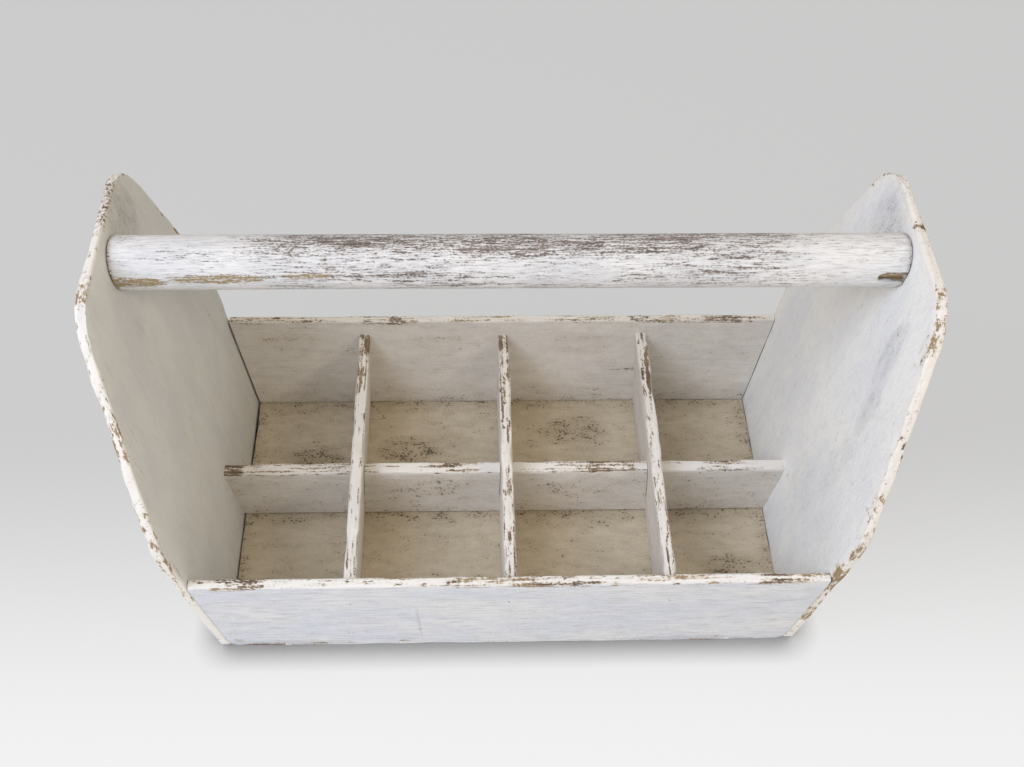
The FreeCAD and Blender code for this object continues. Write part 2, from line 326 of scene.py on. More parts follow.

# %% [markdown]
# ## Worn chalk paint on wood
#
# The finish is old white distemper or chalk paint, brushed along the boards: dull, a little
# streaky, clouded where it was rubbed thin, stained brown where dirt lay, darkened by painted
# shadows in a few places, and gone to bare wood on the ridges. A photograph would fix the marks
# to one view. Here the marks come from noise in the board's own millimetres, steered by the wear
# that the mesh carries.

# %% Paint over wood
def worn_paint(name, whites, stain_and_shade, woods, streak_mm, brush, crust, gloss):
    """Brushed chalk paint over wood. Wood runs from dark to pale; paint is clouded between two
    whites, streaked by the brush, stained and speckled, with a third white on the rims. The
    stain colour also paints the shadows that the grime attribute carries. Each share in the
    recipe is a weighted sum of marks and noises on top of a base, passed through a soft step where
    one is given. brush is how plainly the strokes show, crust how high the old coats stand, and
    gloss the roughness to start from."""
    material = bpy.data.materials.new(name)
    tree = empty_tree(material)
    grain = node(tree, "Attribute", {}, attribute_name="grain").outputs["Vector"]
    value = {}
    for key in ("wear", "grime_and_shade", "ochre", "seam", "rim"):
        value[key] = node(tree, "Attribute", {}, attribute_name=key).outputs["Fac"]

    # Pattern sizes in millimetres along, across and through the grain: soft clouds, blotches of
    # dirt, brush streaks, crumbs of paint, specks, old coats, thin scratches, and lumps. Real
    # specks and scratches are finer. They are drawn as coarse as they need to show in a render.
    sizes = {
        "cloud": (70, 34, 34), "blotch": (16, 8, 8), "streak": streak_mm, "crumb": (2.2, 1.3, 1.3),
        "speck": (2.4, 2.0, 2.0), "age": (24, 2.2, 2.2), "hair": (11, 2.0, 2.0), "lump": (5.5, 4, 4),
    }
    for order, (key, size) in enumerate(sizes.items()):
        place = node(tree, "VectorMath", {0: grain, 1: [1 / s for s in size]}, operation="MULTIPLY")
        moved = node(tree, "VectorMath", {0: place.outputs[0], 1: (order * 9.7,) * 3}, operation="ADD")
        made = node(tree, "TexNoise", {"Vector": moved.outputs[0], "Scale": 1.0, "Detail": 4.0,
                                       "Roughness": 0.6})
        value[key] = made.outputs["Fac"]

    # Each share: weights, base, and a soft step as start, stop and most. The noises lie round
    # 0.5, so a base takes half of their weights away. Heights are in millimetres.
    recipe = {
        "bare": ({"wear": 1, "crumb": 1.4, "streak": 1.4}, -1.4, (0.44, 0.62, 0.95)),
        "thin": ({"wear": 1, "crumb": 1.0, "streak": 1.6}, -1.3, (0.24, 0.56, 0.6)),
        # Dirt and painted shadows share this layer: the grime attribute carries both
        "dirt_and_shade": ({"grime_and_shade": 1, "blotch": 0.5, "crumb": 0.5, "streak": 0.5 * brush}, -0.5 - 0.25 * brush,
                 (0, 1, 0.95)),
        "specks": ({"grime_and_shade": 0.6, "speck": 1, "blotch": 0.5, "rim": 0.16}, -0.25, (0.85, 0.92, 0.85)),
        "clouds": ({"cloud": 1}, 0, (0.35, 0.65, 1)),
        "strokes": ({"streak": 1, "hair": 0.8, "wear": 0.3}, -0.4, (0.46, 0.74, 0.55 * brush)),
        "coats": ({"age": 1}, 0, (0.52, 0.72, 0.6 * brush)),
        "flecks": ({"hair": 1, "speck": 0.5}, -0.25, (0.62, 0.72, 0.6 * brush)),
        "clean": ({"rim": 0.7}, 0, None),
        "aged": ({"age": 1}, 0, (0.35, 0.65, 1)),
        "pale": ({"ochre": 1, "blotch": 0.8, "age": 0.6}, -0.7, (0.3, 0.7, 0.85)),
        "height": ({"bare": -0.15, "streak": 0.2 * crust, "crumb": 0.18 * crust, "hair": 0.12 * crust,
                    "lump": 0.25 * crust}, 0, None),
        "dull": ({"bare": 0.15, "blotch": 0.2}, gloss - 0.1, None),
    }
    for key, (weights, base, step) in recipe.items():
        total = base
        for source, factor in weights.items():
            terms = {0: value[source], 1: factor, 2: total}
            total = node(tree, "Math", terms, operation="MULTIPLY_ADD").outputs[0]
        if step:
            limits = {"Value": total, "From Min": step[0], "From Max": step[1], "To Max": step[2]}
            total = node(tree, "MapRange", limits, interpolation_type="SMOOTHSTEP").outputs["Result"]
        value[key] = total

    # Colours from the bottom up: each layer lies over the last one by its share.
    stacks = {
        "wood": [woods[0], ("aged", woods[1]), ("pale", woods[2])],
        "paint": [whites[0], ("clouds", whites[1]), ("strokes", "#A5A4A3"), ("coats", "#F6F5F1"),
                  ("flecks", "#F8F8F7"), ("clean", whites[2]), ("dirt_and_shade", stain_and_shade), ("specks", "#4B4034"),
                  ("thin", woods[3])],
    }
    colour = {}
    for key, (ground, *layers) in stacks.items():
        colour[key] = linear(ground)
        for share, code in layers:
            over = {0: value[share], 6: colour[key], 7: linear(code)}
            colour[key] = node(tree, "Mix", over, data_type="RGBA").outputs[2]
    worn = node(tree, "Mix", {0: value["bare"], 6: colour["paint"], 7: colour["wood"]}, data_type="RGBA")
    skin = node(tree, "Mix", {0: value["seam"], 6: worn.outputs[2], 7: linear("#1D1915")}, data_type="RGBA")
    relief = node(tree, "Bump", {"Height": value["height"], "Strength": 1.0, "Distance": MM})
    surface = node(tree, "BsdfPrincipled", {
        "Base Color": skin.outputs[2], "Roughness": value["dull"], "IOR": 1.5,
        "Specular IOR Level": 0.35, "Normal": relief.outputs[0]})
    node(tree, "OutputMaterial", {"Surface": surface.outputs[0]})
    print(name, "has", len(tree.nodes), "nodes")
    return material


# %% [markdown]
# ## Six coats
#
# The caddy was never painted in one go. The front and the right end have a later, cooler coat,
# the left end's coat is greyer and darker, partly painted shade as its inner face turns from the
# window light, and the bottom is soaked with dirt. Each is the same worn paint with other colours
# and strokes, so six calls make them all.

# %% Six coats of paint
# Softwood under thin paint: brown, greyed brown, ochre, and tan where the paint is worn thin
SOFTWOOD = ("#5B4A3A", "#85705A", "#A18A66", "#C6B496")
# Hardwood of the handle: greyer, and grey where the paint is worn thin
HARDWOOD = ("#5E5148", "#8B7F75", "#A08B5C", "#B3ACA6")
# Chalk paint brushed on softwood boards: flat, with fine streaks along the board
board_paint = worn_paint("brushed_chalk_paint_on_softwood", ("#ECE8E0", "#E3E0DA", "#F7F2E8"), "#AD9B7D",
                         SOFTWOOD, (60, 1.8, 1.8), 0.2, 0.7, 0.72)
# A later, cooler coat on the front: blue-grey clouds, plain brush strokes and a crust of old coats
cool_paint = worn_paint("cool_chalk_paint_on_softwood", ("#E9EAE9", "#DEE2E8", "#F8F4EA"), "#96979C",
                        SOFTWOOD, (34, 2.2, 2.2), 0.6, 2.2, 0.7)
# A greyer, darker coat on the left end, partly painted shade for its inner face, which turns
# from the window light: smooth, with soft dark marks, among them a painted shadow of the handle
grey_and_shaded_paint = worn_paint("greyed_and_shaded_chalk_paint_on_softwood", ("#DEDED8", "#D6D6D3", "#F7F2E8"), "#6F695F",
                        SOFTWOOD, (30, 4, 4), 0.1, 0.7, 0.72)
# A thick cool coat on the right end: lumpy, with hardly a brush stroke
pale_paint = worn_paint("thick_chalk_paint_on_softwood", ("#F3F3EE", "#EAEBEB", "#F1EBE0"), "#A0A2A6",
                        SOFTWOOD, (9, 6, 6), 0.16, 2.4, 0.7)
# Paint on the bottom, soaked with dirt: taupe, with scattered dark specks
bottom_paint = worn_paint("soiled_chalk_paint_on_softwood", ("#DDD1BA", "#D2C6AE", "#DDD1BA"), "#8F7C5C",
                          SOFTWOOD, (9, 5, 5), 0.2, 1.0, 0.8)
# Rubbed paint on a hardwood round: closer streaks along the grain and a little polish
handle_paint = worn_paint("rubbed_chalk_paint_on_hardwood", ("#EBEAE7", "#DCDDDD", "#EBEAE7"), "#A39686",
                          HARDWOOD, (13, 1.0, 1.0), 0.75, 1.2, 0.55)

# %% [markdown]
# ## End boards
#
# Each end is one wide board that leans out: narrow at the foot, widest at the shoulders, then
# drawn in to a flat top with round corners. The section here is the board's width by its
# thickness, carried up the slope, and the half width follows the outline.

# %% Outline of an end board
END_HEIGHT = 359.0
SHOULDER_HEIGHT = 170.0
END_TOP = END_HEIGHT / math.cos(SPLAY)
SHOULDER = SHOULDER_HEIGHT / math.cos(SPLAY)
SHOULDER_HALF = HALF_WIDTH + SHOULDER_HEIGHT * math.tan(FLARE)
SHOULDER_EASE = 3.0
TOP_HALF = 81.0
TOP_ROUND = 45.0
FOOT_ROUND = 8.0


def end_outline(up):
    """Half width of an end board at a distance up its slope: the lower of two straight edges,
    softened where they cross, cut by a round foot corner and by the top corner's circle. Also
    gives how far the edge has turned towards the top, in radians."""
    lower = HALF_WIDTH + (SHOULDER_HALF - HALF_WIDTH) * up / SHOULDER
    fall = (SHOULDER_HALF - TOP_HALF) / (END_TOP - SHOULDER)
    upper = SHOULDER_HALF - fall * (up - SHOULDER)
    half = (lower + upper) / 2 - np.sqrt(((lower - upper) / 2) ** 2 + SHOULDER_EASE**2)
    half = half - FOOT_ROUND + np.sqrt(FOOT_ROUND**2 - np.clip(FOOT_ROUND - up, 0, FOOT_ROUND) ** 2)
    middle = END_TOP - TOP_ROUND
    start = middle + TOP_ROUND * math.sin(math.atan(fall))
    centre = SHOULDER_HALF - fall * (middle - SHOULDER) - TOP_ROUND / math.cos(math.atan(fall))
    round_corner = centre + np.sqrt(np.clip(TOP_ROUND**2 - (up - middle) ** 2, 0, None))
    tilt = np.where(up > start, np.arcsin(np.clip((up - middle) / TOP_ROUND, -1, 1)), 0.0)
    return np.where(up > start, round_corner, half), tilt


print("half width at the shoulder:", round(float(end_outline(np.array(SHOULDER))[0]), 1), "mm")


# %% Surface of an end board
END_RIM = 2.4


def end_board(name, side, seed, rubbed, grime_and_shade, stains_and_shadows, rim_reach, paint):
    """An end board: its section is carried up the slope, and through runs from the inner face
    out. The foot is cut level with the ground. rim_reach is how far, in millimetres, the cleaner
    paint of the rim runs onto the faces."""
    up = stations(0, END_TOP, 1.15)
    half_width, tilt = end_outline(up)
    top = END_TOP - END_RIM
    half = BOARD / 2 - END_RIM + np.sqrt(END_RIM**2 - np.clip(up - top, 0, END_RIM) ** 2)
    board = board_grid(up, -half_width, half_width, half, END_RIM, 78, tilt)
    grain = spot(board, seed)
    ridge = np.minimum(board["ridge_high"], board["ridge_low"])
    ridge = np.minimum(ridge, np.clip(top - board["along"], 0, None))
    wear = weather(board, ridge, seed, 0.38, 0.9, patches(board, rubbed), 0.16, 1.3)
    board["rim"] = np.maximum(board["rim"], 0.8 * np.exp(-((ridge / rim_reach) ** 2)))
    fold_ends(board)
    along, out = board["along"], board["through"] + BOARD / 2
    along = along + out * math.tan(SPLAY) * np.clip(1 - along / 40, 0, 1)
    x = side * (HALF_LENGTH + along * math.sin(SPLAY) + out * math.cos(SPLAY))
    z = np.clip(along * math.cos(SPLAY) - out * math.sin(SPLAY), 0, None)
    xyz = np.stack([x, board["across"], z], axis=-1)
    # Dirt and shade on the board: a grime level, the inner face darker towards the foot, and the listed
    # stains, among them painted shadows of the handle
    soil_and_shade = grime_and_shade + 0.14 * ramp(60 - z, 0, 50) * (out < 2) + patches(board, stains_and_shadows)
    slow = rough_noise(spot(board, seed, 60, 40, 40), seed + 60, 2)
    marks = {"wear": wear, "grime_and_shade": soil_and_shade, "ochre": ramp(slow, 0.4, 0.6), "rim": board["rim"]}
    make_piece(name, xyz, grain, marks, paint)


# %% Two end boards
LEFT_SPOTS = [(250, 30, -118, 7, 0.2), (130, 56, -148, 7, 0.22)]
RIGHT_SPOTS = [(205, 16, -138, 7, 0.3), (120, 22, -146, 7, 0.3), (60, 16, -140, 7, 0.3),
               (330, 16, -86, 8, 0.25), (170, 20, -150, 8, 0.3)]
# On the left a darker patch just under the handle; on the right blue-grey smudges by the handle.
# The last patch on each side is a painted shadow of the handle on the inner face behind it.
LEFT_STAINS_AND_SHADOW = [(290, 20, -8, 20, 0.12), (338, 34, 40, 34, 0.3)]
RIGHT_STAINS_AND_SHADOW = [(285, 36, -52, 12, 0.3), (235, 30, -66, 10, 0.3), (170, 36, -70, 14, 0.2),
                (90, 40, -40, 26, 0.14), (328, 32, 38, 32, 0.34)]
end_board("left_end_board", -1, 3, LEFT_SPOTS, 0.02, LEFT_STAINS_AND_SHADOW, 1.0, grey_and_shaded_paint)
end_board("right_end_board", 1, 7, RIGHT_SPOTS, 0.03, RIGHT_STAINS_AND_SHADOW, 6.0, pale_paint)

# %% [markdown]
# ## Front and back boards
#
# The two long sides are thin boards that lean out, cut to the slope of the ends, with their
# lower corners worn round. Their tops have lost the most paint. The section is height by
# thickness here, carried along the length, and the whole board then stretches with height
# so that its ends stay on the splayed end boards.

# %% Side boards
SIDE_HEIGHT = 116.0
SIDE_TOP = SIDE_HEIGHT / math.cos(FLARE) - BOARD * math.tan(FLARE)
LOWER_ROUND = 9.0
# How far a board's ends run on, to meet the planed faces of its neighbours
FIT = 0.3


def side_board(name, side, seed, left_gap, rubbed, grime_and_shade, stains_and_shadows, paint):
    """A side board: its section runs up the flare, and through runs from the inner face out.
    Its lower corners follow a quarter circle. left_gap is how far it stops short at the left."""
    along = stations(left_gap - HALF_LENGTH - FIT * (left_gap == 0), HALF_LENGTH + FIT, 0.95)
    inset = np.minimum(along - along[0], along[-1] - along)
    low = LOWER_ROUND - np.sqrt(LOWER_ROUND**2 - np.clip(LOWER_ROUND - inset, 0, LOWER_ROUND) ** 2)
    board = board_grid(along, low, SIDE_TOP, BOARD / 2, 2.6, 56)
    grain = spot(board, seed)
    ridge = np.minimum(board["ridge_high"], board["ridge_low"] + 1.2)
    wear = weather(board, ridge, seed, 0.45, 0.9, patches(board, rubbed), 0.3)
    fold_ends(board)
    out = board["through"] - BOARD / 2
    y = side * (HALF_WIDTH + board["across"] * math.sin(FLARE) + out * math.cos(FLARE))
    z = board["across"] * math.cos(FLARE) - out * math.sin(FLARE)
    xyz = np.stack([board["along"] * end_x(z) / HALF_LENGTH, y, z], axis=-1)
    inner = ramp(-board["through"], 0, 2)
    outer = (1 - inner) * (1 - board["rim"])
    # Dirt and shade on the board: grime on the inner face, darker towards its foot, some grime outside, and
    # the listed stains; on the back board these are painted shadows
    soil_and_shade = grime_and_shade * inner + 0.15 * inner * ramp(45 - z, 0, 35) + 0.18 * outer + patches(board, stains_and_shadows)
    slow = rough_noise(spot(board, seed, 50, 30, 30), seed + 60, 2)
    # A dark joint, some tenths of a millimetre wide, against both end boards
    joint = 0.7 + 0.8 * (slow - 0.5)
    seam = np.maximum(ramp(joint - (board["along"] - along[0]), 0, 0.3),
                      ramp(joint - (along[-1] - board["along"]), 0, 0.3))
    marks = {"wear": wear, "grime_and_shade": soil_and_shade, "ochre": ramp(slow, 0.42, 0.58),
             "seam": seam * (0.15 + 0.75 * inner), "rim": board["rim"]}
    make_piece(name, xyz, grain, marks, paint)


print("a side board is", round(SIDE_TOP, 1), "mm high, measured up the flare")

# %% Front and back
TOP_SPOTS = [(-231, 5), (-185, 19), (-139, 13), (-91, 30), (-44, 7), (-13, 6), (42, 26), (77, 4),
             (112, 18), (163, 4), (185, 20)]
FRONT_SPOTS = [(x, half, SIDE_TOP, 4, 0.15) for x, half in TOP_SPOTS]
# Chips along the lower edge, most of them near the left corner
FRONT_SPOTS += [(-205, 24, 3, 4, 0.5), (-162, 8, 6, 2.5, 0.5), (-89, 5, 9, 2, 0.5), (-135, 5, 7, 2, 0.45),
                (-228, 5, 14, 5, 0.4), (60, 14, 3, 3, 0.4), (170, 20, 3, 3, 0.4)]
# The upright line where two coats lap, and dirt along the lower edge
FRONT_STAINS = [(-74, 0.9, 46, 36, 0.22), (-190, 50, 4, 8, 0.2), (150, 60, 4, 8, 0.15)]
BACK_SPOTS = [(x, 30, SIDE_TOP, 4, 0.2) for x in (-210, -95, -20, 70, 205)]
# Two scraped slits and a scuff on the inner face
BACK_SPOTS += [(-137, 9, 79, 3, 0.5), (118, 21, 52, 3, 0.45), (-180, 18, 104, 4, 0.3)]
# Painted shadows: a dark wedge high on the inner face, to the left of each cross divider
BACK_PAINTED_SHADOWS = [(-190, 26, 90, 14, 0.1), (-60, 24, 84, 16, 0.08), (70, 24, 86, 16, 0.08)]
side_board("front_board", -1, 11, 0.0, FRONT_SPOTS, 0.1, FRONT_STAINS, cool_paint)
side_board("back_board", 1, 13, 0.8, BACK_SPOTS, 0.24, BACK_PAINTED_SHADOWS, board_paint)

# %% [markdown]
# ## Bottom
#
# One board lies between the four walls and carries the dividers. Years of dirt have settled
# into it, and it is darker still along the walls. At the left end it stops short of the end board
# and leaves a dark gap.

# %% Bottom board
LEFT_GAP = 1.6
BOTTOM_SEED = 17
NO_RIDGE = 50.0
bottom_along = stations(LEFT_GAP - end_x(BOTTOM), end_x(BOTTOM), 1.3)
bottom = board_grid(bottom_along, -side_y(BOTTOM), side_y(BOTTOM), BOTTOM / 2, 0.5, 90)
bottom_grain = spot(bottom, BOTTOM_SEED)
bottom_wear = weather(bottom, np.full_like(bottom["along"], NO_RIDGE), BOTTOM_SEED)
fold_ends(bottom)
bottom_z = bottom["through"] + BOTTOM / 2
bottom_x = bottom["along"] * end_x(bottom_z) / end_x(BOTTOM)
bottom_y = bottom["across"] * side_y(bottom_z) / side_y(BOTTOM)
bottom_xyz = np.stack([bottom_x, bottom_y, bottom_z], axis=-1)
print("bottom reaches", round(float(bottom_x.max()), 1), "by", round(float(bottom_y.max()), 1), "mm")

# %% Dirt on the bottom
BOTTOM_STAINS = [(-178, 26, 58, 12, 0.2), (-90, 30, 66, 16, 0.2), (-214, 12, -84, 7, 0.35),
                 (70, 34, 88, 16, 0.17), (200, 24, -70, 14, 0.2)]
# The bottom is darker within some millimetres of the walls and of the long divider
wall_gap = np.minimum(end_x(BOTTOM) - np.abs(bottom_x), side_y(BOTTOM) - np.abs(bottom_y))
wall_or_divider_gap = np.minimum(wall_gap, np.abs(bottom_y) - 6)
floor_side = ramp(bottom_z, BOTTOM / 2, BOTTOM)
bottom_soil = 0.33 + 0.14 * floor_side * ramp(18 - wall_or_divider_gap, 0, 16)
bottom_soil = bottom_soil + floor_side * patches(bottom, BOTTOM_STAINS)
bottom_slow = rough_noise(spot(bottom, BOTTOM_SEED, 25, 18, 18), 19, 3)
bottom_wear = bottom_wear + 0.25 * ramp(bottom_slow, 0.55, 0.75)
bottom_seam = ramp(2.6 * bottom_slow - 0.2 - (bottom["along"] - bottom_along[0]), 0, 0.5)
bottom_seam = bottom_seam * ramp(bottom_y + 60 * (bottom_slow - 0.5), -20, 5)
bottom_seam = np.maximum(bottom_seam, 0.9 * ramp(2.4 * bottom_slow - 0.5 - wall_gap, 0, 0.5))
bottom_marks = {"wear": bottom_wear, "grime_and_shade": bottom_soil, "ochre": 0.2, "seam": bottom_seam}
make_piece("bottom_board", bottom_xyz, bottom_grain, bottom_marks, bottom_paint)

# %% [markdown]
# ## Dividers
#
# One long divider and three taller cross dividers are halved over each other: the long one is
# notched from above and the cross ones from below. In the grid a notch is a step in the
# section's top or bottom between two stations that lie almost at the same place.

# %% Stations with notches
LAP = 43.6
LONG_TOP = 75.0
LONG_HALF = 6.25
CROSS_TOP = 100.0
CROSS_HALF = 5.5
CROSS_PLACES = {"cross_divider_left": -130.5, "cross_divider_middle": 0.0, "cross_divider_right": 130.5}
LEAN = math.radians(3.0)
DIVIDER_RIM = 2.6


def lean_at(place):
    """How far a cross divider leans for each millimetre of height: in towards the middle, and not
    at all where it stands in the middle."""
    return -np.sign(place) * math.tan(LEAN)


def notched(along, middles, half, outside, inside):
    """Adds two stations at each side of every notch and gives the section's edge at each
    station: inside the notch limit within half of a middle, and outside it elsewhere."""
    walls = np.array([m + s * (half + d) for m in middles for s in (-1, 1) for d in (0.0, 0.04)])
    along = np.sort(np.concatenate([along, walls]))
    gap = np.abs(along[:, None] - np.array(middles)).min(axis=1)
    return along, np.where(gap < half + 0.02, inside, outside)


print("dividers lap", round(LONG_TOP - LAP, 1), "mm deep")

# %% Long divider
LONG_SEED = 23
LONG_PLAY = 0.2
long_end = end_x(LONG_TOP) + FIT
notch_places = [x + (LONG_TOP - CROSS_TOP) * lean_at(x) for x in CROSS_PLACES.values()]
long_along, long_high = notched(stations(-long_end, long_end, 0.95), notch_places, CROSS_HALF + LONG_PLAY,
                                LONG_TOP, LAP - LONG_PLAY)
long_board = board_grid(long_along, BOTTOM, long_high, LONG_HALF, DIVIDER_RIM, 24)
long_grain = spot(long_board, LONG_SEED)
long_rubbed = patches(long_board, [(-243, 9, LONG_TOP, 5, 0.4), (-60, 22, LONG_TOP, 3, 0.18),
                                   (95, 20, LONG_TOP, 3, 0.18)])
long_wear = weather(long_board, long_board["ridge_high"], LONG_SEED, 0.45, 0.8, long_rubbed, 0.46, 1.2)
fold_ends(long_board)
# Each notch leans with its cross divider and each end with its end board
knots = [-long_end, *notch_places, long_end]
slopes = [-math.tan(SPLAY), *map(lean_at, CROSS_PLACES.values()), math.tan(SPLAY)]
long_z = long_board["across"]
long_x = long_board["along"] + (long_z - LONG_TOP) * np.interp(long_board["along"], knots, slopes)
long_xyz = np.stack([long_x, long_board["through"], long_z], axis=-1)
long_soil = 0.32 + 0.06 * ramp(40 - long_z, 0, 28) - 0.5 * ramp(long_z, 70, 73)
long_soil = long_soil + patches(long_board, [(-72, 34, 52, 14, 0.13), (60, 30, 48, 12, 0.1)])
long_marks = {"wear": long_wear, "grime_and_shade": long_soil, "ochre": 0.4, "rim": 0.4 * long_board["rim"]}
make_piece("long_divider", long_xyz, long_grain, long_marks, board_paint)

# %% Cross dividers
CROSS_PLAY = 0.6


def cross_divider(name, seed, rubbed):
    """A cross divider: its section is height by thickness, carried from front to back, notched
    from below at the long divider, then stretched with height onto the flared sides and
    leaned over."""
    place = CROSS_PLACES[name]
    lean = lean_at(place)
    reach = side_y(CROSS_TOP) + FIT
    along, low = notched(stations(-reach, reach, 0.7), [0.0], LONG_HALF + CROSS_PLAY, BOTTOM, LAP)
    board = board_grid(along, low, CROSS_TOP, CROSS_HALF, DIVIDER_RIM, 30)
    grain = spot(board, seed)
    wear = weather(board, board["ridge_high"], seed, 0.45, 1.2, patches(board, rubbed), 0.58, 1.8)
    fold_ends(board)
    z = board["across"] - board["through"] * lean * ramp(board["across"], BOTTOM, CROSS_TOP)
    x = place + (z - CROSS_TOP) * lean + board["through"]
    y = board["along"] * side_y(z) / side_y(CROSS_TOP)
    soil_and_shade = 0.3 + 0.06 * ramp(45 - z, 0, 30) - 0.42 * ramp(z, 94, 98)
    slow = rough_noise(spot(board, seed, 40, 30, 30), seed + 60, 2)
    marks = {"wear": wear, "grime_and_shade": soil_and_shade, "ochre": 0.45 * ramp(slow, 0.45, 0.6), "rim": 0.2 * board["rim"]}
    make_piece(name, np.stack([x, y, z], axis=-1), grain, marks, board_paint)


cross_divider("cross_divider_left", 29, [(60, 30, CROSS_TOP, 4, 0.2), (125, 12, CROSS_TOP, 4, 0.28)])
cross_divider("cross_divider_middle", 31, [(20, 26, CROSS_TOP, 4, 0.2), (128, 10, CROSS_TOP, 5, 0.32)])
cross_divider("cross_divider_right", 37, [(80, 40, CROSS_TOP, 4, 0.2)])

# %% [markdown]
# ## Handle
#
# The handle is a hardwood round, shaved by hand and never quite true. Hands have worn the paint
# to streaks along the grain, most on top, and bare ochre wood shows near the left end. It is
# a tube on a grid of length by turn, whose radius is taken down by noise. A small pocket is
# cut into it near the right end.

# %% Handle
HANDLE_RADIUS = 20.5
HANDLE_AXIS = 330.0
POCKET_PLACE = 280
POCKET_DEPTH = 3.2
rod_end = end_x(HANDLE_AXIS)
rod_along = stations(-rod_end, rod_end, 1.35)[:, None]
rod_turn = np.linspace(0, 2 * math.pi, 128, endpoint=False)[None, :]
rod_degrees = np.degrees(rod_turn)
rod = {"along": rod_along + 0 * rod_turn, "across": HANDLE_RADIUS * np.sin(rod_turn) + 0 * rod_along,
       "through": HANDLE_RADIUS * np.cos(rod_turn) + 0 * rod_along}
flats = rough_noise(spot(rod, 41, 120, 14, 14), 41, 2)
splits = ramp(rough_noise(spot(rod, 43, 40, 2.2, 2.2), 43, 3), 0.60, 0.74)
# The pocket is 18 mm long and comes to a round point on the left; its width is in degrees
pocket_half = 12 * np.sqrt(np.clip((rod_along - 268) / 8, 0, 1)) + 0.01
pocket_far = np.maximum(np.abs(rod_along - POCKET_PLACE) / 9, np.abs(rod_degrees - 88) / pocket_half)
pocket = ramp(1.25 - pocket_far, 0, 0.3)
radius = HANDLE_RADIUS - 0.7 * flats - 0.25 * splits - POCKET_DEPTH * pocket
radius = radius - 0.8 * ramp(np.abs(rod_along), rod_end - 0.8, rod_end)
print("handle radius from", round(float(radius.min()), 1), "to", round(float(radius.max()), 1), "mm")


# %% Handle as a closed tube
def capped(field):
    """Repeats a field's first and last row for the two points that close the handle's ends."""
    return np.concatenate([field[:1], field, field[-1:]])


rod_y, rod_z = -radius * np.sin(rod_turn), HANDLE_AXIS + radius * np.cos(rod_turn)
rod_x = rod_along * end_x(rod_z) / rod_end
rod_xyz = capped(np.stack([rod_x, rod_y, rod_z], axis=-1))
rod_xyz[0] = (-rod_end, 0, HANDLE_AXIS)
rod_xyz[-1] = (rod_end, 0, HANDLE_AXIS)
rod_grain = capped(np.stack([rod["along"], rod["across"], rod["through"]], axis=-1) + 500)
print("handle reaches", round(float(rod_x.max()), 1), "mm to either side")

# %% Handle wear
top_side = ramp(np.cos(rod_turn + math.radians(12)), 0.45, 0.95)
worn_run = ramp(rod_along, -215, -150) * (1 - ramp(rod_along, 170, 235))
runs = rough_noise(spot(rod, 47, 55, 12, 12), 47, 3)
rod_wear = 0.17 + 0.1 * worn_run + 0.22 * top_side * worn_run + 0.4 * (runs - 0.5)
turned = {"along": rod["along"], "across": rod_degrees + 0 * rod_along}
ochre_spot = patches(turned, [(-276, 26, 92, 16, 0.75), (-214, 40, 84, 13, 0.7), (-150, 20, 78, 9, 0.5)])
rod_wear = np.maximum(rod_wear, 0.85 * ochre_spot) + 0.6 * pocket + 0.25 * splits * worn_run
rod_ochre = np.maximum(1.2 * ochre_spot, 0.9 * pocket)
rod_soil = 0.05 + 0.5 * ramp(np.abs(rod_along), rod_end - 5, rod_end - 1) + 0 * rod_turn
# Dark lines: the joints at both ends, a thin dark line along the underside, and the pocket's edges
rod_seam = 0.6 * ramp(np.abs(rod_along), rod_end - 1.0, rod_end - 0.6) + 0 * rod_turn
underside_dark_line = ramp(62 - np.abs(rod_along + 17), 0, 20) * ramp(4 - np.abs(rod_degrees - 134), 0, 3)
pocket_edge = 0.6 * pocket * ramp(np.abs(rod_degrees - 86), 3, 9)
rod_seam = np.maximum(rod_seam, np.maximum(underside_dark_line, pocket_edge))
rod_marks = {"wear": capped(np.clip(rod_wear, 0, 1)), "grime_and_shade": capped(rod_soil), "ochre": capped(rod_ochre),
             "seam": capped(rod_seam)}
make_piece("handle", rod_xyz, rod_grain, rod_marks, handle_paint)

# %% [markdown]
# ## Nails
#
# The caddy is put together with cut nails, driven flush and painted over with the boards. Their
# CAD solids have the right shape, so they only get a finish: paint with rust coming through.

# %% Painted cut nails
RUST_SPOT = 2 * MM
nail_finish = bpy.data.materials.new("painted_cut_nail_steel")
nail_tree = empty_tree(nail_finish)
nail_place = node(nail_tree, "TexCoord", {}).outputs["Object"]
rust_noise = node(nail_tree, "TexNoise", {"Vector": nail_place, "Scale": 1 / RUST_SPOT, "Detail": 3.0})
rust = rust_noise.outputs["Fac"]
rust_share = node(nail_tree, "MapRange", {"Value": rust, "From Min": 0.52, "From Max": 0.68},
                  interpolation_type="SMOOTHSTEP").outputs["Result"]
nail_colour = node(nail_tree, "Mix", {0: rust_share, 6: linear("#E0E0E2"), 7: linear("#8A7B6C")},
                   data_type="RGBA")
nail_bump = node(nail_tree, "Bump", {"Height": rust, "Strength": 0.4, "Distance": 0.1 * MM})
nail_skin = node(nail_tree, "BsdfPrincipled", {"Base Color": nail_colour.outputs[2], "Roughness": 0.7,
                                               "Normal": nail_bump.outputs[0]})
node(nail_tree, "OutputMaterial", {"Surface": nail_skin.outputs[0]})
nails = [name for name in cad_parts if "nails" in name or "spikes" in name]
for name in nails:
    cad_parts[name].data.materials.clear()
    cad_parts[name].data.materials.append(nail_finish)
print(len(nails), "groups of nails painted")

# %% [markdown]
# ## Floor
#
# A pale studio floor runs from grey behind to near white in front. A lit floor would take on
# the lamps' fall-off, so to the camera most of its tone is its own, and a short reach of
# occlusion paints a soft shadow under the boards into that tone.

